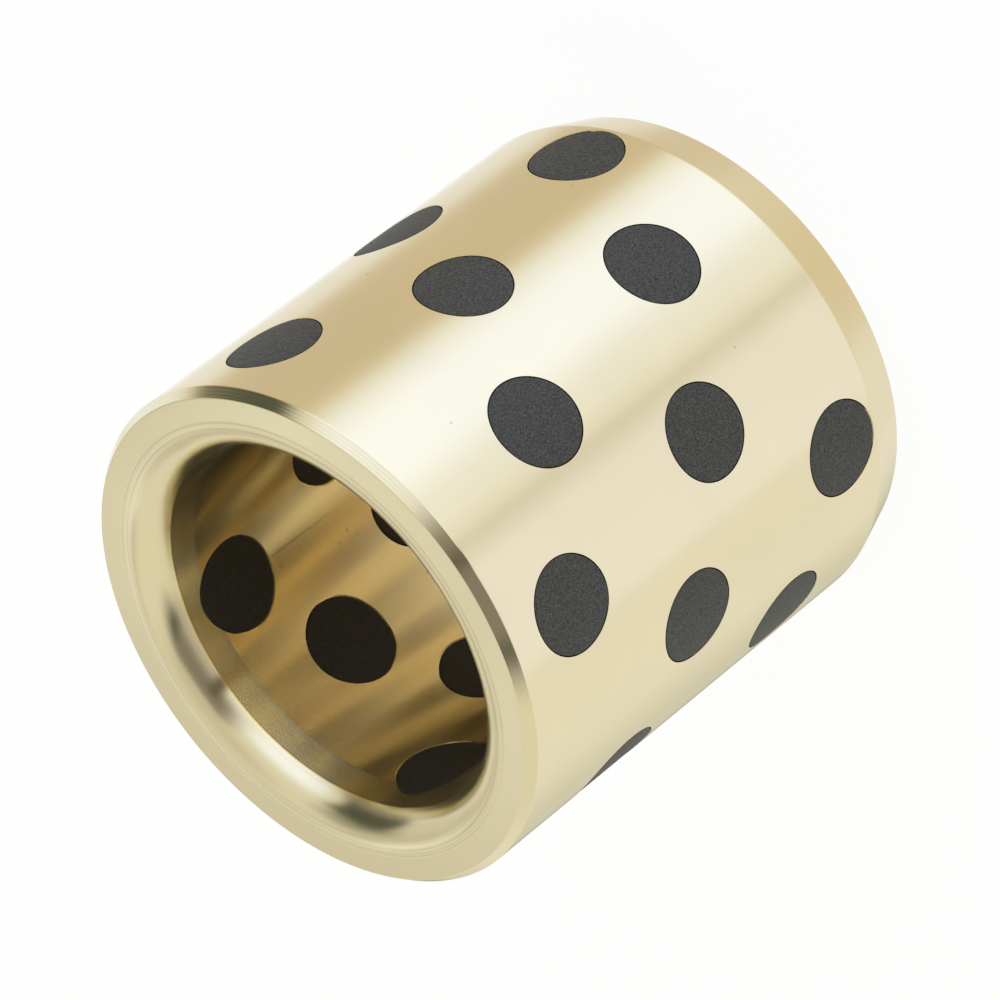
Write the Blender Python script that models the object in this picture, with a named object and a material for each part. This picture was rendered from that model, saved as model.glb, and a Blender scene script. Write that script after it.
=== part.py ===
"""Plugged bronze sleeve bushing, 20 x 28 x 30 mm.

A turned bronze sleeve with six rings of four graphite plugs through its wall. Each ring is
turned by a fixed step from the one above it, so the plugs run round the sleeve in a helix.

Frame: metres, +Z along the bore. The origin is the centre of the lead-in end, which is the
flat annulus that the bushing stands on; the end with the rounded bore entry is on top.
"""

import math

import bmesh
import bpy
from mathutils import Matrix

# Sleeve: the three catalogue sizes
BORE_RADIUS = 0.010
OUTER_RADIUS = 0.014
LENGTH = 0.030

# Lead-in end (bottom): a long shallow taper outside and a small chamfer in the bore
LEAD_IN_LENGTH = 0.00255
LEAD_IN_DEPTH = 0.00085
BOTTOM_BORE_CHAMFER = 0.0005

# Entry end (top): a small chamfer outside; in the bore a rounded mouth that runs into a long
# tapered band
RIM_CHAMFER_DEPTH = 0.0004
RIM_CHAMFER_HEIGHT = 0.00052
MOUTH_RADIUS = 0.01217
MOUTH_ROUNDING = 0.00188
MOUTH_TURN = math.radians(76.8)
MOUTH_STEPS = 6
BAND_DEPTH = 0.00288

# Plugs: rings from the entry end down, each turned on from the one above
RING_COUNT = 6
PLUGS_PER_RING = 4
TOP_RING_Z = 0.0252
RING_PITCH = 0.004
RING_TURN = math.radians(33.75)
HOLE_RADIUS = 0.0025
PLUG_GAP = 0.00005
OUTER_RECESS = 0.00003
BORE_RECESS = 0.00005

# Facets: 64 round the sleeve puts every plug on the same place of a facet
SLEEVE_SEGMENTS = 64
HOLE_SEGMENTS = 24
CUTTER_MARGIN = 0.0015
SHARP_ANGLE = math.radians(35)


def clear_scene():
    for old in list(bpy.data.objects):
        bpy.data.objects.remove(old, do_unlink=True)


def principled(name, colour, roughness, metallic):
    material = bpy.data.materials.new(name)
    material.use_nodes = True
    shader = material.node_tree.nodes["Principled BSDF"]
    shader.inputs["Base Color"].default_value = (*colour, 1.0)
    shader.inputs["Roughness"].default_value = roughness
    shader.inputs["Metallic"].default_value = metallic
    return material


def new_object(name, mesh, material=None):
    thing = bpy.data.objects.new(name, mesh)
    bpy.context.collection.objects.link(thing)
    if material and not mesh.materials:
        mesh.materials.append(material)
    return thing


def mesh_from(bm, name):
    bmesh.ops.recalc_face_normals(bm, faces=bm.faces)
    mesh = bpy.data.meshes.new(name)
    bm.to_mesh(mesh)
    bm.free()
    mesh.shade_smooth()
    mesh.set_sharp_from_angle(angle=SHARP_ANGLE)
    return mesh


def sleeve_profile():
    """Radius and height round the wall's section: up the outside and down the bore."""
    outside = [
        (OUTER_RADIUS - LEAD_IN_DEPTH, 0.0),
        (OUTER_RADIUS, LEAD_IN_LENGTH),
        (OUTER_RADIUS, LENGTH - RIM_CHAMFER_HEIGHT),
        (OUTER_RADIUS - RIM_CHAMFER_DEPTH, LENGTH),
    ]
    mouth = []
    for step in range(MOUTH_STEPS + 1):
        angle = MOUTH_TURN * step / MOUTH_STEPS
        radius = MOUTH_RADIUS - MOUTH_ROUNDING * math.sin(angle)
        height = LENGTH - MOUTH_ROUNDING * (1 - math.cos(angle))
        mouth.append((radius, height))
    bore = [
        (BORE_RADIUS, LENGTH - BAND_DEPTH),
        (BORE_RADIUS, BOTTOM_BORE_CHAMFER),
        (BORE_RADIUS + BOTTOM_BORE_CHAMFER, 0.0),
    ]
    return outside + mouth + bore


def turned_ring(name, profile, segments):
    """A closed section swept once round Z."""
    bm = bmesh.new()
    rings = []
    for step in range(segments):
        angle = math.tau * step / segments
        ring = [bm.verts.new((r * math.cos(angle), r * math.sin(angle), z)) for r, z in profile]
        rings.append(ring)
    for step, ring in enumerate(rings):
        following = rings[(step + 1) % segments]
        for corner in range(len(profile)):
            beyond = (corner + 1) % len(profile)
            bm.faces.new((ring[corner], following[corner], following[beyond], ring[beyond]))
    return mesh_from(bm, name)


def plug_places():
    """Ring number, plug number, and the turn and height of every plug."""
    places = []
    for ring in range(RING_COUNT):
        for plug in range(PLUGS_PER_RING):
            turn = RING_TURN * ring + math.tau * plug / PLUGS_PER_RING
            height = TOP_RING_Z - RING_PITCH * ring
            places.append((ring, plug, turn, height))
    return places


def plug_mesh(name, radius, outer_radius, bore_radius):
    """A plug along +X whose two ends follow the sleeve's outside and its bore."""
    bm = bmesh.new()
    outer = []
    inner = []
    for step in range(HOLE_SEGMENTS):
        angle = math.tau * step / HOLE_SEGMENTS
        across = radius * math.sin(angle)
        along = radius * math.cos(angle)
        outer.append(bm.verts.new((math.sqrt(outer_radius**2 - across**2), across, along)))
        inner.append(bm.verts.new((math.sqrt(bore_radius**2 - across**2), across, along)))
    for step in range(HOLE_SEGMENTS):
        following = (step + 1) % HOLE_SEGMENTS
        bm.faces.new((outer[step], outer[following], inner[following], inner[step]))
    for end in (outer, inner):
        close_end(bm, end)
    return mesh_from(bm, name)


def close_end(bm, rim):
    """Fill a curved end with strips that run parallel to the sleeve's axis."""
    half = HOLE_SEGMENTS // 2
    quarter = HOLE_SEGMENTS // 4
    for strip in range(-quarter, quarter):
        near = strip % HOLE_SEGMENTS
        near_next = (strip + 1) % HOLE_SEGMENTS
        far = (half - strip) % HOLE_SEGMENTS
        far_next = (half - strip - 1) % HOLE_SEGMENTS
        corners = []
        for index in (near, near_next, far_next, far):
            if rim[index] not in corners:
                corners.append(rim[index])
        bm.faces.new(corners)


def hole_cutter():
    """One mesh of all the drills, each running clear of the wall at both ends."""
    bm = bmesh.new()
    inner_end = BORE_RADIUS - CUTTER_MARGIN
    outer_end = OUTER_RADIUS + CUTTER_MARGIN
    for ring, plug, turn, height in plug_places():
        middle = Matrix.Translation(((inner_end + outer_end) / 2, 0.0, 0.0))
        along_x = Matrix.Rotation(math.radians(90), 4, "Y")
        placed = Matrix.Translation((0.0, 0.0, height)) @ Matrix.Rotation(turn, 4, "Z")
        bmesh.ops.create_cone(
            bm,
            cap_ends=True,
            segments=HOLE_SEGMENTS,
            radius1=HOLE_RADIUS,
            radius2=HOLE_RADIUS,
            depth=outer_end - inner_end,
            matrix=placed @ middle @ along_x,
        )
    cutter = new_object("plug_hole_cutter", mesh_from(bm, "plug_hole_cutter"))
    cutter.display_type = "WIRE"
    cutter.hide_render = True
    return cutter


def build_sleeve(bronze):
    mesh = turned_ring("bronze_sleeve", sleeve_profile(), SLEEVE_SEGMENTS)
    sleeve = new_object("bronze_sleeve", mesh, bronze)
    drilling = sleeve.modifiers.new("plug_holes", "BOOLEAN")
    drilling.operation = "DIFFERENCE"
    drilling.solver = "EXACT"
    drilling.object = hole_cutter()
    return sleeve


def build_plugs(graphite, sleeve):
    mesh = plug_mesh(
        "graphite_plug",
        HOLE_RADIUS - PLUG_GAP,
        OUTER_RADIUS - OUTER_RECESS,
        BORE_RADIUS + BORE_RECESS,
    )
    for ring, plug, turn, height in plug_places():
        name = f"graphite_plug_ring{ring + 1}_{plug + 1}"
        piece = new_object(name, mesh, graphite)
        piece.parent = sleeve
        piece.location = (0.0, 0.0, height)
        piece.rotation_euler = (0.0, 0.0, turn)


def main():
    clear_scene()
    bronze = principled("bronze", (0.80, 0.66, 0.40), 0.32, 1.0)
    graphite = principled("graphite", (0.055, 0.055, 0.052), 0.6, 0.0)
    sleeve = build_sleeve(bronze)
    build_plugs(graphite, sleeve)


main()
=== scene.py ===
"""Looks of a plugged bronze sleeve bushing: a turned, satin bronze sleeve with graphite plugs.

The sleeve stands on its lead-in end and its bore runs along +Z. Lengths below are millimetres,
which mm() turns into the frame's metres, and directions are given as azimuth and elevation in
degrees, azimuth 0 along +X and 90 along +Y.
"""

import math

import bmesh
import bpy
import numpy as np
from mathutils import Matrix, Vector, noise


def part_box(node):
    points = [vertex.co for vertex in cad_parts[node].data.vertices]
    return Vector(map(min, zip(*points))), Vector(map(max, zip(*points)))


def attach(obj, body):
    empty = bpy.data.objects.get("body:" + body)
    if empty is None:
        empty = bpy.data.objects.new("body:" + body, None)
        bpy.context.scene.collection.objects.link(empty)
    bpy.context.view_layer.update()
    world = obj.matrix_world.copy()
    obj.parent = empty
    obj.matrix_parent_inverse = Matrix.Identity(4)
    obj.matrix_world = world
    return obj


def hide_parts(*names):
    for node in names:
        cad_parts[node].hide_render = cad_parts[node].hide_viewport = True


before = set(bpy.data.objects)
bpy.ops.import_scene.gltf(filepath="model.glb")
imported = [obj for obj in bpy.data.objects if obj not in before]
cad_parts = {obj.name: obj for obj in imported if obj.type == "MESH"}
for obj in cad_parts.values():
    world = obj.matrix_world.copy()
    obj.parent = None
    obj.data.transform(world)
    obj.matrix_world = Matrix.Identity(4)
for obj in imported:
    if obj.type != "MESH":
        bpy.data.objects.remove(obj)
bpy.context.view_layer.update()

MM = 0.001

# Sleeve: the driving sizes come from the frame, the small ones are its machined details
SLEEVE_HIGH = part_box("bronze_sleeve")[1]
OUTER_RADIUS = SLEEVE_HIGH.x / MM
LENGTH = SLEEVE_HIGH.z / MM
BORE_RADIUS = OUTER_RADIUS / 1.4
LEAD_IN = (0.85, 2.55)
RIM_CHAMFER = (0.40, 0.52)
FOOT_CHAMFER = 0.5
EDGE_ROUNDING = 0.05
TAPER_ROUNDING = 0.12
MOUTH_RADIUS = 12.17
MOUTH_ROUNDING = 1.88
MOUTH_TURN = 57.0
MOUTH_SECOND_ROUNDING = 3.1
MOUTH_END_TURN = 69.5
MOUTH_CORNER_ROUNDING = 0.06
BAND_DEPTH = 2.88
BAND_GROOVES = 16
BAND_GROOVE_DEPTH = 0.0036
CHAMFER_GROOVES = 3
CHAMFER_GROOVE_DEPTH = 0.002
FACE_GROOVES_START = 12.35
FACE_GROOVES = 3
FACE_GROOVE_DEPTH = 0.004
GROOVE_STEPS = 6
ARC_STEPS = 6
MOUTH_STEPS = 20
SLEEVE_SEGMENTS = 256

# Plugs and the drilled holes that they fill
HOLE_RADIUS = 2.5
HOLE_EDGE_WIDTH = 0.06
HOLE_EDGE_DEPTH = 0.022
PLUG_RADIUS = 2.44
PLUG_EDGE_BREAK = 0.03
OUTER_RECESS = 0.02
BORE_RECESS = 0.05
HOLE_SEGMENTS = 64
CUTTER_MARGIN = 1.0
PLUG_RINGS = 16
GRAIN_SIZE = 0.16
GRAIN_HEIGHT = 0.012
GRAIN_SHIFT = 7.0

# Bronze: colours, noise scales per metre, how strongly each pattern shows, roughness and the
# depth of the finest turning marks
BRONZE = (0.81, 0.725, 0.485)
BRONZE_CLOUD = (0.79, 0.71, 0.48)
BRONZE_STREAK = (0.66, 0.56, 0.36)
# Lighter, warmer colour of the tapered band: a painted highlight
BRONZE_BAND_HIGHLIGHT = (0.94, 0.81, 0.47)
BRONZE_DARK = (0.25, 0.19, 0.10)
FINE_TURNING_SCALE = 9000.0
BROAD_TURNING_SCALE = 900.0
CLOUD_SCALE = 160.0
CLOUD_EDGES = (0.3, 0.7)
DRIFT_SCALE = 60.0
DRIFT = 0.002
STREAK_SHARE = 0.05
PIT_SPACING = 700.0
PIT_RARITY = 0.72
PIT_SIZE = 0.075
PIT_SHARE = 0.4
BRONZE_ROUGHNESS = 0.15
FINE_ROUGHNESS = 0.03
CLOUD_ROUGHNESS = 0.04
BORE_ROUGHNESS = 0.03
BAND_ROUGHNESS = 0.01
TURNING_RELIEF = 0.004
BROAD_RELIEF = 0.6
PIT_RELIEF = 2.0

# Radii at which the bore and the tapered band start and are full
BORE_LIMITS = (10.08, 10.02)
BAND_LIMITS = (10.38, 10.31)

# Dark rings where the face meets the mouth: radius, half width and darkness. The two narrow outer ones are
# tool marks;
# the broad one and the innermost one lie on the mouth's rounding and are painted shade.
# A noise breaks them up, and they never fade below a least share.
MARK_NOISE = (130.0, 3.0, 0.6)
MARK_BREAKS = (0.35, 0.60)
MARK_FAINTEST = 0.35
TOOL_MARKS_AND_PAINTED_SHADE = [(12.24, 0.03, 0.34), (12.09, 0.025, 0.30), (11.90, 0.12, 0.24), (11.62, 0.05, 0.12)]

# Graphite: colours, noise scales per metre, where pores and specks start and are full, and the
# radii between which the plug ends inside the bore turn brown-black: painted shade of the bore, warmed by
# its bronze
GRAPHITE_DARK = (0.019, 0.019, 0.016)
GRAPHITE_LIGHT = (0.066, 0.066, 0.057)
GRAPHITE_PORE = (0.012, 0.012, 0.011)
GRAPHITE_SPECK = (0.17, 0.17, 0.16)
# Brown-black painted shade for the plug ends inside the bore
GRAPHITE_BORE_SHADE = (0.010, 0.008, 0.004)
GRAIN_SCALE = 9000.0
GRAIN_EDGES = (0.35, 0.65)
SPECK_SCALE = 16000.0
PORE_EDGES = (0.45, 0.36)
PORE_SHARE = 0.8
SPECK_EDGES = (0.62, 0.72)
BORE_SHADE_LIMITS = (12.0, 11.0)
BORE_SHADE_SHARE = 0.7
GRAPHITE_ROUGHNESS = 0.5
GRAIN_RELIEF = 0.02

# Camera: it turns about the optical axis, because the bushing lies on its side in use
CAMERA_AIM = (0.172, 0.348, 15.425)
CAMERA_AZIMUTH = 206.787
CAMERA_ELEVATION = 36.139
CAMERA_DISTANCE = 344.805
CAMERA_ROLL = 127.843
CAMERA_LENS = 248.53

# Floor: half its side in metres, how far it lies below the bushing, and its two shares of white
FLOOR_SIZE = 3.0
FLOOR_DROP = 0.02
FLOOR_COLOUR = (0.1, 0.1, 0.1)
FLOOR_GLOW = 0.925

# Graded card that the entry face reflects: it brightens upwards and towards one side, and is
# dimmer past its top and side edges, given as distances from its middle
FACE_CARD_AZIMUTH = 26.8
FACE_CARD_ELEVATION = 34.2
FACE_CARD_DISTANCE = 80.0
FACE_CARD_SIZE = 56.0
FACE_CARD_RISE = 0.055
FACE_CARD_SWING = 0.019
FACE_CARD_DIM = (0.66, 0.64, 0.55)
FACE_CARD_BRIGHT = (1.12, 1.14, 1.17)
FACE_CARD_TOP = (0.68, 0.66, 0.58)
FACE_CARD_TOP_EDGES = (11.0, 18.0)
FACE_CARD_SIDE = (0.62, 0.60, 0.51)
FACE_CARD_SIDE_EDGES = (-14.0, -21.0)

# Streaky gel under the bore, which paints reflection streaks into it: tints above 1 brighten what the bore
# mirrors, tints below 1 dim it; each pair of edges is where a tint starts and where it is full
GEL_MARGIN = 1.0
GEL_DROP = 0.01
GEL_SEGMENTS = 64
GEL_STREAK_EDGES = (0.40, 0.62)
GEL_NEAR_EDGES = (-2.0, -7.0)
GEL_RIM_EDGES = (7.4, 9.6)
GEL_STREAKS = 3.2
GEL_DEEP = (0.80, 0.58, 0.33)
GEL_LIGHT = (1.40, 1.16, 0.74)
GEL_NEAR = (1.08, 0.98, 0.79)
GEL_RIM = (0.25, 0.18, 0.09)

SQUARE = ((-1, -1), (1, -1), (1, 1), (-1, 1))
PLUG_NODES = sorted(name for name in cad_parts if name.startswith("graphite_plug"))


# ---------------------------------------------------------------- helpers for every section

def direction(azimuth, elevation):
    """The unit vector towards an azimuth and elevation in degrees."""
    turn = math.radians(azimuth)
    rise = math.radians(elevation)
    return Vector((math.cos(turn) * math.cos(rise), math.sin(turn) * math.cos(rise), math.sin(rise)))


class Nodes:
    """A short way to add and join shader nodes."""

    def __init__(self, tree):
        self.tree = tree

    def add(self, kind, settings=None, **inputs):
        node = self.tree.nodes.new("ShaderNode" + kind)
        for name, value in (settings or {}).items():
            setattr(node, name, value)
        for name, value in inputs.items():
            self.feed(node, int(name[1:]) if name[0] == "_" else name.replace("_", " "), value)
        return node

    def feed(self, node, key, value):
        socket = node.inputs[key]
        if isinstance(value, bpy.types.Node):
            value = value.outputs[0]
        if isinstance(value, bpy.types.NodeSocket):
            self.tree.links.new(value, socket)
        else:
            socket.default_value = value

    def math(self, operation, first, second=0.0, third=0.0):
        node = self.add("Math", {"operation": operation}, _0=first, _1=second, _2=third)
        return node.outputs[0]

    def smooth_step(self, value, start, end, low=0.0, high=1.0):
        settings = {"interpolation_type": "SMOOTHSTEP"}
        node = self.add("MapRange", settings, _0=value, _1=start, _2=end, _3=low, _4=high)
        return node.outputs[0]

    def smooth_step_mm(self, value, start, end):
        return self.smooth_step(value, start * MM, end * MM)

    def mix(self, factor, first, second):
        node = self.add("MixRGB", _0=factor, _1=first, _2=second)
        return node.outputs[0]

    def noise(self, vector, scale, detail=2.0, roughness=0.5):
        node = self.add("TexNoise", Vector=vector, Scale=scale, Detail=detail, Roughness=roughness)
        return node.outputs["Fac"]


def flat_part(build, place):
    """A place's distance and way from the sleeve's axis, with no height."""
    parts = build.add("SeparateXYZ", Vector=place)
    return build.add("CombineXYZ", X=parts.outputs["X"], Y=parts.outputs["Y"])


def vector_value(build, operation, first, second=(0.0, 0.0, 0.0)):
    """The single number that a vector operation gives."""
    node = build.add("VectorMath", {"operation": operation}, _0=first, _1=second)
    return node.outputs["Value"]


# ---------------------------------------------------------------- scene: camera, floor, studio

def make_camera():
    data = bpy.data.cameras.new("camera")
    data.lens = CAMERA_LENS
    data.clip_start = 0.01
    camera = bpy.data.objects.new("camera", data)
    bpy.context.scene.collection.objects.link(camera)
    back = direction(CAMERA_AZIMUTH, CAMERA_ELEVATION)
    level = (-back).to_track_quat("-Z", "Y").to_matrix().to_4x4()
    roll = Matrix.Rotation(-math.radians(CAMERA_ROLL), 4, "Z")
    place = Matrix.Translation((Vector(CAMERA_AIM) + back * CAMERA_DISTANCE) * MM)
    camera.matrix_world = place @ level @ roll
    bpy.context.scene.camera = camera
    bpy.context.scene.view_settings.view_transform = "Standard"


def stage_object(name, corners, colour, glow):
    """A flat stage object of one matt material."""
    bm = bmesh.new()
    bm.faces.new([bm.verts.new(corner) for corner in corners])
    mesh = bpy.data.meshes.new(name)
    bm.to_mesh(mesh)
    bm.free()
    thing = bpy.data.objects.new(name, mesh)
    bpy.context.scene.collection.objects.link(thing)
    material = bpy.data.materials.new(name)
    material.use_nodes = True
    shader = material.node_tree.nodes["Principled BSDF"]
    shader.inputs["Base Color"].default_value = (*colour, 1.0)
    shader.inputs["Roughness"].default_value = 1.0
    shader.inputs["Specular IOR Level"].default_value = 0.0
    shader.inputs["Emission Color"].default_value = (1.0, 1.0, 1.0, 1.0)
    shader.inputs["Emission Strength"].default_value = glow
    mesh.materials.append(material)
    return thing


def make_floor():
    """A white sheet. The metal doesn't mirror it, because the studio below is part of the world."""
    corners = [(FLOOR_SIZE * x, FLOOR_SIZE * y, -FLOOR_DROP * MM) for x, y in SQUARE]
    sheet = stage_object("white_paper", corners, FLOOR_COLOUR, FLOOR_GLOW)
    sheet.visible_glossy = False


def seen_by_metal_only(thing):
    for sight in ("camera", "diffuse", "shadow", "transmission", "volume_scatter"):
        setattr(thing, "visible_" + sight, False)


def make_bore_gel():
    """An amber gel across the lower end of the bore, which warms, dims and in places brightens what the
    bore mirrors: painted reflection streaks.
    """
    radius = (BORE_RADIUS + FOOT_CHAMFER + GEL_MARGIN) * MM
    turns = [math.tau * step / GEL_SEGMENTS for step in range(GEL_SEGMENTS)]
    rim = [(radius * math.cos(turn), radius * math.sin(turn), -GEL_DROP * MM) for turn in turns]
    gel = stage_object("amber_gel", rim, (0.0, 0.0, 0.0), 0.0)
    seen_by_metal_only(gel)
    build = Nodes(gel.active_material.node_tree)
    spot = flat_part(build, build.add("TexCoord").outputs["Object"])
    way = build.add("VectorMath", {"operation": "NORMALIZE"}, _0=spot)
    streak = build.smooth_step(build.noise(way, GEL_STREAKS, 2.0), *GEL_STREAK_EDGES)
    tint = build.mix(streak, (*GEL_DEEP, 1), (*GEL_LIGHT, 1))
    along = vector_value(build, "DOT_PRODUCT", spot, direction(FACE_CARD_AZIMUTH, 0))
    tint = build.mix(build.smooth_step_mm(along, *GEL_NEAR_EDGES), tint, (*GEL_NEAR, 1))
    out = vector_value(build, "LENGTH", spot)
    tint = build.mix(build.smooth_step_mm(out, *GEL_RIM_EDGES), tint, (*GEL_RIM, 1))
    clear = build.add("BsdfTransparent", Color=tint)
    build.feed(gel.active_material.node_tree.nodes["Material Output"], "Surface", clear)


def make_face_card():
    """A tall graded card near the entry face, which only the metal sees."""
    towards = direction(FACE_CARD_AZIMUTH, FACE_CARD_ELEVATION)
    centre = Vector((0, 0, LENGTH)) + towards * FACE_CARD_DISTANCE
    side = Vector((0, 0, 1)).cross(towards).normalized()
    up = towards.cross(side)
    half = FACE_CARD_SIZE / 2
    corners = [(centre + side * half * a + up * half * b) * MM for a, b in SQUARE]
    card = stage_object("graded_card", corners, (0.0, 0.0, 0.0), 1.0)
    seen_by_metal_only(card)
    build = Nodes(card.active_material.node_tree)
    shader = card.active_material.node_tree.nodes["Principled BSDF"]
    place = build.add("TexCoord").outputs["Object"]
    slope = (up * FACE_CARD_RISE - side * FACE_CARD_SWING) / MM
    share = build.math("SUBTRACT", vector_value(build, "DOT_PRODUCT", place, slope), centre.dot(slope) * MM)
    share = build.smooth_step(share, -1.0, 1.0)
    colour = build.mix(share, (*FACE_CARD_DIM, 1), (*FACE_CARD_BRIGHT, 1))
    outer_parts = ((up, FACE_CARD_TOP_EDGES, FACE_CARD_TOP), (side, FACE_CARD_SIDE_EDGES, FACE_CARD_SIDE))
    for way, (start, end), tone in outer_parts:
        middle = centre.dot(way)
        reach = vector_value(build, "DOT_PRODUCT", place, way)
        colour = build.mix(build.smooth_step_mm(reach, middle + start, middle + end), colour, (*tone, 1))
    build.feed(shader, "Emission Color", colour)


# Each card: azimuth, half width and edge softness, elevation, half height and softness, colour
STUDIO_BASE = (0.98, 0.97, 0.95)
STUDIO_CARDS = [
    ("upper_room", (0, 200, 1), (50, 48, 14), (0.88, 0.86, 0.78)),
    ("ceiling", (0, 200, 1), (90, 18, 20), (0.72, 0.68, 0.58)),
    ("side_wall", (118, 24, 14), (18, 28, 20), (0.89, 0.87, 0.77)),
    ("warm_floor", (233, 96, 16), (-90, 32, 8), (0.84, 0.75, 0.57)),
    ("far_end_of_table", (52, 22, 44), (-30, 18, 12), (0.72, 0.72, 0.60)),
    ("table_edge", (37, 5, 4), (-32, 20, 16), (0.38, 0.36, 0.31)),
    ("bright_edge", (15, 6, 8), (-32, 20, 16), (1.13, 1.18, 1.28)),
    ("left_wall", (168, 27, 8), (-24, 26, 12), (1.06, 1.07, 1.18)),
    ("low_wall", (174, 30, 14), (8, 12, 12), (0.69, 0.66, 0.63)),
    ("wall_corner", (201, 2, 5), (-24, 26, 12), (0.86, 0.86, 0.86)),
    ("window_edge", (243, 34, 18), (-8, 50, 24), (1.06, 1.12, 1.25)),
    ("window", (250, 20, 24), (-12, 46, 28), (1.24, 1.36, 1.76)),
    ("warm_screen", (310, 28, 10), (-34, 30, 18), (0.77, 0.67, 0.53)),
    ("right_wall", (346, 19, 12), (26, 18, 12), (0.76, 0.74, 0.67)),
    ("right_glow", (346, 14, 10), (-6, 10, 10), (1.04, 1.10, 1.26)),
    ("dim_panel", (3, 15, 16), (38, 12, 12), (0.62, 0.60, 0.50)),
    ("shelf", (321, 20, 15), (46, 12, 14), (0.38, 0.38, 0.31)),
    ("window_post", (213, 13, 8), (1, 16, 12), (1.14, 1.18, 1.27)),
    ("tripod_cloth", (178, 38, 26), (45, 24, 14), (0.25, 0.235, 0.21)),
    ("tripod_leg", (153, 5, 8), (36, 14, 14), (0.08, 0.085, 0.08)),
    ("camera_body", (196, 4, 6), (11, 35, 12), (0.13, 0.115, 0.09)),
    ("threshold", (304, 22, 12), (-6, 14, 12), (0.24, 0.20, 0.14)),
    ("doorway", (307.5, 20.5, 10), (26, 18, 12), (0.085, 0.10, 0.075)),
]


def make_studio():
    """Soft studio light as a world: a pale room with a window, screens and dark flags in it."""
    world = bpy.data.worlds.new("studio")
    world.use_nodes = True
    bpy.context.scene.world = world
    tree = world.node_tree
    tree.nodes.clear()
    build = Nodes(tree)
    way = build.add("TexCoord").outputs["Generated"]
    parts = build.add("SeparateXYZ", Vector=way)
    level = build.add("VectorMath", {"operation": "NORMALIZE"}, _0=flat_part(build, way))
    rise = build.math("MULTIPLY", build.math("ARCSINE", parts.outputs["Z"]), math.degrees(1.0))
    colour = (*STUDIO_BASE, 1.0)
    for _, (turn, half_turn, turn_soft), (height, half_height, height_soft), card in STUDIO_CARDS:
        towards = vector_value(build, "DOT_PRODUCT", level, direction(turn, 0))
        off = build.math("ARCCOSINE", build.math("MINIMUM", towards, 1.0))
        off = build.math("MULTIPLY", off, math.degrees(1.0))
        across = build.smooth_step(off, half_turn + turn_soft / 2, half_turn - turn_soft / 2)
        off = build.math("ABSOLUTE", build.math("SUBTRACT", rise, height))
        up = build.smooth_step(off, half_height + height_soft / 2, half_height - height_soft / 2)
        colour = build.mix(build.math("MULTIPLY", across, up), colour, (*card, 1.0))
    lit = build.add("Background", Color=colour, Strength=1.0)
    plain = build.add("Background", Color=(1.0, 1.0, 1.0, 1.0), Strength=1.0)
    seen = build.add("LightPath").outputs["Is Camera Ray"]
    both = build.add("MixShader", _0=seen, _1=lit, _2=plain)
    build.add("OutputWorld", Surface=both)


# ---------------------------------------------------------------- materials

def turned_coordinate(build, place, radius):
    """A coordinate that is almost the same all round the sleeve: radius and height."""
    height = build.add("SeparateXYZ", Vector=place).outputs["Z"]
    drift = build.math("MULTIPLY", build.noise(place, DRIFT_SCALE, 1.0), DRIFT)
    return build.add("CombineXYZ", X=radius, Y=height, Z=drift).outputs[0]


def bronze_base(build, place, radius, broad, cloud, pits, in_band):
    """Bronze a little cloudy and streaked, lighter in the band as a painted highlight, with dark pits, tool
    marks and rings of painted shade on the mouth.
    """
    base = build.mix(build.smooth_step(cloud, *CLOUD_EDGES), (*BRONZE, 1), (*BRONZE_CLOUD, 1))
    base = build.mix(build.math("MULTIPLY", broad, STREAK_SHARE), base, (*BRONZE_STREAK, 1))
    base = build.mix(build.math("MULTIPLY", pits, PIT_SHARE), base, (*BRONZE_DARK, 1))
    # The band gets a lighter colour: a painted highlight
    base = build.mix(in_band, base, (*BRONZE_BAND_HIGHLIGHT, 1))
    faint = build.smooth_step(build.noise(place, *MARK_NOISE), *MARK_BREAKS, MARK_FAINTEST, 1.0)
    # Rings of tool marks, and on the mouth's rounding rings of painted shade
    for mark, half_width, depth in TOOL_MARKS_AND_PAINTED_SHADE:
        off = build.math("ABSOLUTE", build.math("SUBTRACT", radius, mark * MM))
        ring = build.smooth_step(off, half_width * MM, 0.0, 0.0, depth)
        base = build.mix(build.math("MULTIPLY", ring, faint), base, (*BRONZE_DARK, 1))
    return base


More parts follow.
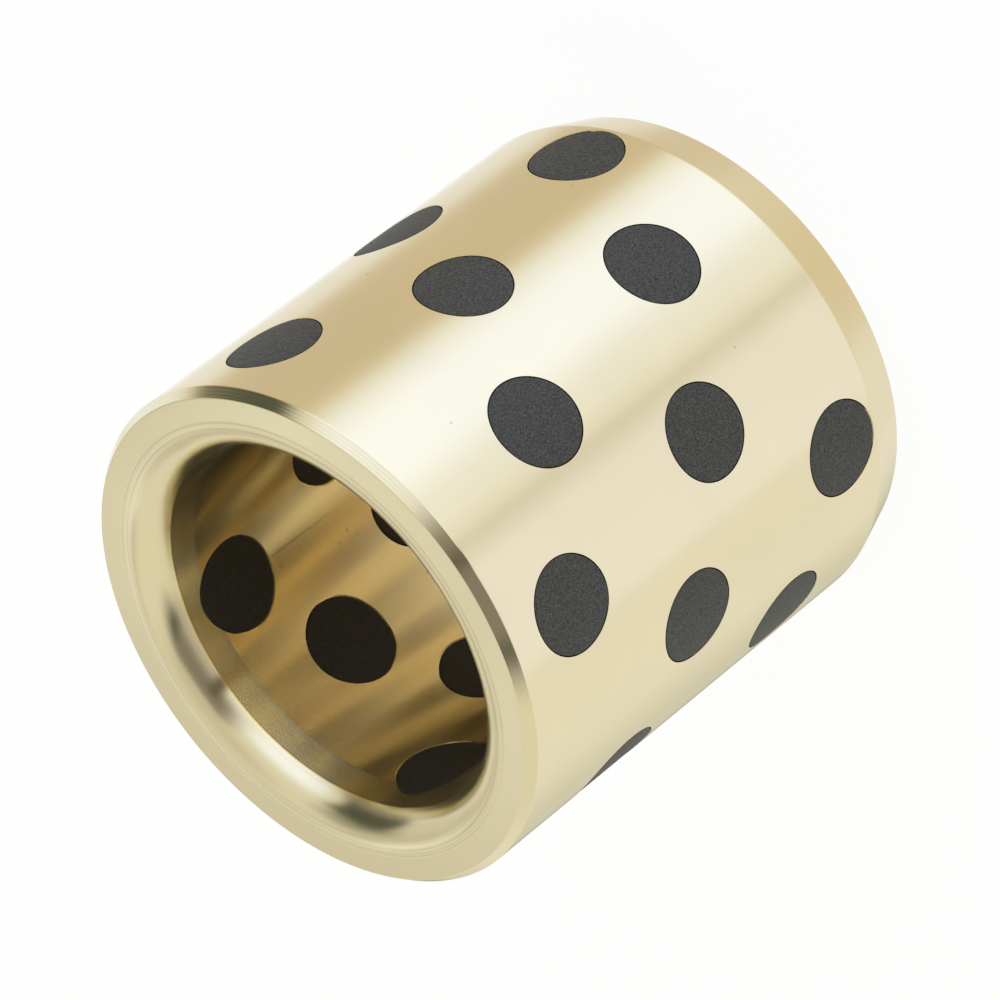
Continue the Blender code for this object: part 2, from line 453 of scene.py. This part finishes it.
def bronze_material():
    material = bpy.data.materials.new("turned_bronze")
    material.use_nodes = True
    build = Nodes(material.node_tree)
    shader = material.node_tree.nodes["Principled BSDF"]
    place = build.add("TexCoord").outputs["Object"]
    radius = vector_value(build, "LENGTH", flat_part(build, place))
    rounds = turned_coordinate(build, place, radius)

    fine = build.noise(rounds, FINE_TURNING_SCALE, 2.0)
    broad = build.noise(rounds, BROAD_TURNING_SCALE, 2.0)
    cloud = build.noise(place, CLOUD_SCALE, 3.0)
    cell = build.add("TexVoronoi", Vector=place, Scale=PIT_SPACING)
    rare = build.add("SeparateXYZ", Vector=cell.outputs["Color"]).outputs["X"]
    size = build.smooth_step(rare, PIT_RARITY, 1.0, 0.0, PIT_SIZE)
    pits = build.math("LESS_THAN", cell.outputs["Distance"], size)
    in_bore = build.smooth_step_mm(radius, *BORE_LIMITS)
    in_band = build.math("SUBTRACT", build.smooth_step_mm(radius, *BAND_LIMITS), in_bore)
    build.feed(shader, "Base Color", bronze_base(build, place, radius, broad, cloud, pits, in_band))

    rough = build.math("MULTIPLY_ADD", fine, FINE_ROUGHNESS, BRONZE_ROUGHNESS)
    for where, extra in ((cloud, CLOUD_ROUGHNESS), (in_bore, BORE_ROUGHNESS), (in_band, BAND_ROUGHNESS)):
        rough = build.math("MULTIPLY_ADD", where, extra, rough)
    build.feed(shader, "Roughness", rough)
    shader.inputs["Metallic"].default_value = 1.0
    shader.inputs["Anisotropic"].default_value = 0.9
    shader.inputs["Anisotropic Rotation"].default_value = 0.25
    tangent = build.add("Tangent", {"direction_type": "RADIAL", "axis": "Z"})
    build.feed(shader, "Tangent", tangent)
    height = build.math("MULTIPLY_ADD", broad, BROAD_RELIEF, fine)
    height = build.math("MULTIPLY_ADD", pits, -PIT_RELIEF, height)
    bump = build.add("Bump", Strength=0.25, Distance=TURNING_RELIEF * MM, Height=height)
    build.feed(shader, "Normal", bump)
    return material


def graphite_material():
    material = bpy.data.materials.new("graphite")
    material.use_nodes = True
    build = Nodes(material.node_tree)
    shader = material.node_tree.nodes["Principled BSDF"]
    place = build.add("TexCoord").outputs["Object"]
    grain = build.noise(place, GRAIN_SCALE, 3.0, 0.7)
    speck = build.noise(place, SPECK_SCALE, 2.0)
    tone = build.mix(build.smooth_step(grain, *GRAIN_EDGES), (*GRAPHITE_DARK, 1), (*GRAPHITE_LIGHT, 1))
    pore = build.smooth_step(grain, *PORE_EDGES)
    tone = build.mix(build.math("MULTIPLY", pore, PORE_SHARE), tone, (*GRAPHITE_PORE, 1))
    tone = build.mix(build.smooth_step(speck, *SPECK_EDGES), tone, (*GRAPHITE_SPECK, 1))
    radius = vector_value(build, "LENGTH", flat_part(build, place))
    # Plug ends inside the bore darken to brown-black: painted shade
    bore_shade = build.smooth_step(radius, BORE_SHADE_LIMITS[0] * MM, BORE_SHADE_LIMITS[1] * MM, 0.0, BORE_SHADE_SHARE)
    build.feed(shader, "Base Color", build.mix(bore_shade, tone, (*GRAPHITE_BORE_SHADE, 1)))
    build.feed(shader, "Roughness", build.math("MULTIPLY_ADD", grain, 0.2, GRAPHITE_ROUGHNESS))
    shader.inputs["Specular IOR Level"].default_value = 0.4
    height = build.math("MULTIPLY_ADD", speck, 0.4, grain)
    bump = build.add("Bump", Strength=0.8, Distance=GRAIN_RELIEF * MM, Height=height)
    build.feed(shader, "Normal", bump)
    return material


# ---------------------------------------------------------------- sleeve

def arc(centre, radius, start, end, steps):
    """Points of an arc from start to end degrees, ends included."""
    points = []
    for step in range(steps + 1):
        angle = math.radians(start + (end - start) * step / steps)
        points.append((centre[0] + radius * math.cos(angle), centre[1] + radius * math.sin(angle)))
    return points


def rounded(before, corner, after, setback):
    """A corner replaced by a smooth bend that starts and ends setback away from it."""
    corner = Vector(corner)
    start = corner + (Vector(before) - corner).normalized() * setback
    end = corner + (Vector(after) - corner).normalized() * setback
    points = []
    for step in range(ARC_STEPS + 1):
        t = step / ARC_STEPS
        point = start * (1 - t) ** 2 + corner * (2 * t * (1 - t)) + end * t**2
        points.append((point.x, point.y))
    return points


def grooved(start, end, count, depth):
    """A straight run from start to end with shallow turning grooves cut into its right side."""
    start = Vector(start)
    run = Vector(end) - start
    inward = Vector((-run.y, run.x)).normalized()
    steps = count * GROOVE_STEPS
    points = []
    for step in range(steps + 1):
        share = step / steps
        sink = depth * (1 - math.cos(math.tau * count * share)) / 2
        point = start + run * share + inward * sink
        points.append((point.x, point.y))
    return points


def sleeve_profile():
    """Radius and height round the wall's section, up the outside and down the bore."""
    foot_outer = (OUTER_RADIUS - LEAD_IN[0], 0.0)
    foot_inner = (BORE_RADIUS + FOOT_CHAMFER, 0.0)
    taper_end = (OUTER_RADIUS, LEAD_IN[1])
    chamfer_low = (OUTER_RADIUS, LENGTH - RIM_CHAMFER[1])
    chamfer_high = (OUTER_RADIUS - RIM_CHAMFER[0], LENGTH)
    face_end = (FACE_GROOVES_START, LENGTH)
    mouth_top = (MOUTH_RADIUS, LENGTH)
    bore_low = (BORE_RADIUS, FOOT_CHAMFER)
    points = []
    points += rounded(foot_inner, foot_outer, taper_end, EDGE_ROUNDING)
    points += rounded(foot_outer, taper_end, chamfer_low, TAPER_ROUNDING)
    points += rounded(taper_end, chamfer_low, chamfer_high, EDGE_ROUNDING)
    low_bend = points[-1]
    high_bend = rounded(chamfer_low, chamfer_high, mouth_top, EDGE_ROUNDING)
    points += grooved(low_bend, high_bend[0], CHAMFER_GROOVES, CHAMFER_GROOVE_DEPTH)[1:-1]
    points += high_bend
    points += grooved(face_end, mouth_top, FACE_GROOVES, FACE_GROOVE_DEPTH)[:-1]
    centre = (MOUTH_RADIUS, LENGTH - MOUTH_ROUNDING)
    points += arc(centre, MOUTH_ROUNDING, 90, 90 + MOUTH_TURN, MOUTH_STEPS)
    shift = MOUTH_SECOND_ROUNDING - MOUTH_ROUNDING
    tilt = math.radians(MOUTH_TURN)
    centre = (centre[0] + math.sin(tilt) * shift, centre[1] - math.cos(tilt) * shift)
    points += arc(centre, MOUTH_SECOND_ROUNDING, 90 + MOUTH_TURN, 90 + MOUTH_END_TURN, ARC_STEPS)[1:-1]
    corner = arc(centre, MOUTH_SECOND_ROUNDING, 90 + MOUTH_END_TURN, 90 + MOUTH_END_TURN, 1)[0]
    band_end = (BORE_RADIUS, LENGTH - BAND_DEPTH)
    points += rounded(points[-1], corner, band_end, MOUTH_CORNER_ROUNDING)
    points += grooved(points[-1], band_end, BAND_GROOVES, BAND_GROOVE_DEPTH)[1:-1]
    points += rounded(band_end, bore_low, foot_inner, EDGE_ROUNDING)
    points += rounded(bore_low, foot_inner, foot_outer, EDGE_ROUNDING)
    return points


def profile_normals(profile):
    """Outward normal at each profile point, each neighbour counting by its length."""
    points = np.array(profile)
    runs = np.roll(points, -1, axis=0) - points
    outward = np.stack([runs[:, 1], -runs[:, 0]], axis=1)
    both = outward + np.roll(outward, 1, axis=0)
    return both / np.linalg.norm(both, axis=1)[:, None]


def mesh_object(name, bm, materials):
    mesh = bpy.data.meshes.new(name)
    bm.to_mesh(mesh)
    bm.free()
    for material in materials:
        mesh.materials.append(material)
    thing = bpy.data.objects.new(name, mesh)
    bpy.context.scene.collection.objects.link(thing)
    return thing


def turned_ring(profile):
    """The wall's section swept once round Z."""
    bm = bmesh.new()
    rings = []
    for step in range(SLEEVE_SEGMENTS):
        angle = math.tau * step / SLEEVE_SEGMENTS
        cos, sin = math.cos(angle) * MM, math.sin(angle) * MM
        rings.append([bm.verts.new((r * cos, r * sin, z * MM)) for r, z in profile])
    for step, ring in enumerate(rings):
        following = rings[(step + 1) % SLEEVE_SEGMENTS]
        for corner in range(len(profile)):
            beyond = (corner + 1) % len(profile)
            bm.faces.new((ring[corner], following[corner], following[beyond], ring[beyond]))
    return bm


def plug_places():
    """Turn, height and node name of every plug, from the frame."""
    places = []
    for name in PLUG_NODES:
        low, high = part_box(name)
        middle = (low + high) / 2
        places.append((math.atan2(middle.y, middle.x), middle.z, name))
    return places


def saddle(cylinder, radius, angle):
    """How far out a cylinder's surface is, at that radius and angle round a plug's axis."""
    across = radius * math.sin(angle)
    return math.sqrt(cylinder**2 - across**2)


def cutter_rings():
    """Radius, cylinder and distance outside it of each ring of a drill, from the bore outwards."""
    wide = HOLE_RADIUS + HOLE_EDGE_WIDTH * 2
    return [
        (wide, BORE_RADIUS, -CUTTER_MARGIN),
        (wide, BORE_RADIUS, -HOLE_EDGE_DEPTH),
        (HOLE_RADIUS, BORE_RADIUS, HOLE_EDGE_DEPTH),
        (HOLE_RADIUS, OUTER_RADIUS, -HOLE_EDGE_DEPTH),
        (wide, OUTER_RADIUS, HOLE_EDGE_DEPTH),
        (wide, OUTER_RADIUS, CUTTER_MARGIN),
    ]


def hole_cutter():
    """Every drill in one mesh; the material index tells its walls from its broken edges."""
    bm = bmesh.new()
    for turn, height, _ in plug_places():
        place = Matrix.Translation((0, 0, height)) @ Matrix.Rotation(turn, 4, "Z") @ Matrix.Scale(MM, 4)
        rings = []
        for radius, cylinder, outside in cutter_rings():
            ring = []
            for step in range(HOLE_SEGMENTS):
                angle = math.tau * step / HOLE_SEGMENTS
                out = saddle(cylinder, radius, angle) + outside
                spot = Vector((out, radius * math.sin(angle), radius * math.cos(angle)))
                ring.append(bm.verts.new(place @ spot))
            rings.append(ring)
        for level in range(len(rings) - 1):
            for step in range(HOLE_SEGMENTS):
                beyond = (step + 1) % HOLE_SEGMENTS
                low, high = rings[level], rings[level + 1]
                face = bm.faces.new((low[step], low[beyond], high[beyond], high[step]))
                face.material_index = 2 if level in (1, 3) else 1
        bm.faces.new(rings[0]).material_index = 1
        bm.faces.new(rings[-1]).material_index = 1
    bmesh.ops.recalc_face_normals(bm, faces=bm.faces)
    return bm


def drill(sleeve, cutter):
    drilling = sleeve.modifiers.new("plug_holes", "BOOLEAN")
    drilling.operation = "DIFFERENCE"
    drilling.solver = "EXACT"
    drilling.object = cutter
    graph = bpy.context.evaluated_depsgraph_get()
    drilled = bpy.data.meshes.new_from_object(sleeve.evaluated_get(graph))
    sleeve.modifiers.clear()
    sleeve.data = drilled
    bpy.data.objects.remove(cutter)


def true_normals(mesh, profile):
    """Shades the drilled sleeve by its exact surfaces, so that the cuts leave no shading marks."""
    points = np.array(profile)
    normals = profile_normals(profile)
    starts, ends = points, np.roll(points, -1, axis=0)
    runs = ends - starts
    lengths = (runs**2).sum(axis=1)
    places = plug_places()
    loops = [None] * len(mesh.loops)
    for face in mesh.polygons:
        centre = face.center / MM
        if face.material_index == 0:
            spot = np.array((math.hypot(centre.x, centre.y), centre.z))
            share = np.clip(((spot - starts) * runs).sum(axis=1) / lengths, 0, 1)
            near = ((starts + runs * share[:, None] - spot) ** 2).sum(axis=1).argmin()
            first, second = normals[near], normals[(near + 1) % len(points)]
        else:
            turn, height = nearest_plug(places, centre)
            axis = Vector((math.cos(turn), math.sin(turn), 0))
        for loop in face.loop_indices:
            vertex = mesh.vertices[mesh.loops[loop].vertex_index].co / MM
            if face.material_index == 0:
                radius = math.hypot(vertex.x, vertex.y)
                spot = np.array((radius, vertex.z))
                share = np.clip(((spot - starts[near]) * runs[near]).sum() / lengths[near], 0, 1)
                out, up = first * (1 - share) + second * share
                loops[loop] = Vector((out * vertex.x / radius, out * vertex.y / radius, up)).normalized()
            else:
                away = vertex - Vector((0, 0, height))
                inward = (axis * away.dot(axis) - away).normalized()
                if face.material_index == 2:
                    side = 1 if away.dot(axis) > (OUTER_RADIUS + BORE_RADIUS) / 2 else -1
                    inward = (inward * HOLE_EDGE_DEPTH + axis * side * HOLE_EDGE_WIDTH).normalized()
                loops[loop] = inward
    mesh.shade_smooth()
    mesh.normals_split_custom_set(loops)


def nearest_plug(places, centre):
    """Turn and height (in mm) of the plug whose axis passes nearest to a point."""
    best = None
    for turn, height, _ in places:
        axis = Vector((math.cos(turn), math.sin(turn), 0))
        away = centre - Vector((0, 0, height / MM))
        if away.dot(axis) < 0:
            continue
        miss = (away - axis * away.dot(axis)).length
        if best is None or miss < best[0]:
            best = (miss, turn, height / MM)
    return best[1], best[2]


def make_sleeve(bronze):
    profile = sleeve_profile()
    sleeve = mesh_object("turned_sleeve", turned_ring(profile), [bronze])
    cutter = mesh_object("drills", hole_cutter(), [bronze, bronze, bronze])
    drill(sleeve, cutter)
    true_normals(sleeve.data, profile)
    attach(sleeve, "root")
    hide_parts("bronze_sleeve")


# ---------------------------------------------------------------- plugs

def plug_rings():
    """Radius and sink below the end of each ring, from an end's middle to its rim."""
    flat = PLUG_RADIUS - PLUG_EDGE_BREAK
    rings = [(flat * step / PLUG_RINGS, 0.0) for step in range(1, PLUG_RINGS + 1)]
    for step in range(1, 4):
        angle = math.radians(30 * step)
        drop = PLUG_EDGE_BREAK * (1 - math.cos(angle))
        rings.append((flat + PLUG_EDGE_BREAK * math.sin(angle), drop))
    return rings


def plug_mesh(seed):
    """A plug along +X: both ends follow the sleeve's surfaces and are grainy."""
    bm = bmesh.new()
    ends = ((OUTER_RADIUS - OUTER_RECESS, 1), (BORE_RADIUS + BORE_RECESS, -1))
    rims = []
    for cylinder, side in ends:
        middle = bm.verts.new((cylinder * MM, 0, 0))
        previous = None
        for radius, drop in plug_rings():
            ring = []
            for step in range(HOLE_SEGMENTS):
                angle = math.tau * step / HOLE_SEGMENTS
                spot = Vector((0, radius * math.sin(angle), radius * math.cos(angle)))
                bumpy = noise.noise((spot + Vector((seed * GRAIN_SHIFT, 0, side))) / GRAIN_SIZE)
                lift = bumpy * GRAIN_HEIGHT if drop == 0 else 0.0
                spot.x = saddle(cylinder, radius, angle) + side * (lift - drop)
                ring.append(bm.verts.new(spot * MM))
            for step in range(HOLE_SEGMENTS):
                beyond = (step + 1) % HOLE_SEGMENTS
                if previous is None:
                    bm.faces.new((middle, ring[step], ring[beyond]))
                else:
                    bm.faces.new((previous[step], previous[beyond], ring[beyond], ring[step]))
            previous = ring
        rims.append(previous)
    for step in range(HOLE_SEGMENTS):
        beyond = (step + 1) % HOLE_SEGMENTS
        bm.faces.new((rims[0][step], rims[0][beyond], rims[1][beyond], rims[1][step]))
    bmesh.ops.recalc_face_normals(bm, faces=bm.faces)
    for face in bm.faces:
        face.smooth = True
    return bm


def make_plugs(graphite):
    for number, (turn, height, node) in enumerate(plug_places()):
        bm = plug_mesh(number)
        bm.transform(Matrix.Translation((0, 0, height)) @ Matrix.Rotation(turn, 4, "Z"))
        plug = mesh_object(node.replace("graphite_plug", "lubricant_plug"), bm, [graphite])
        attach(plug, "root")
        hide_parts(node)


make_camera()
make_floor()
make_bore_gel()
make_face_card()
make_studio()
make_sleeve(bronze_material())
make_plugs(graphite_material())
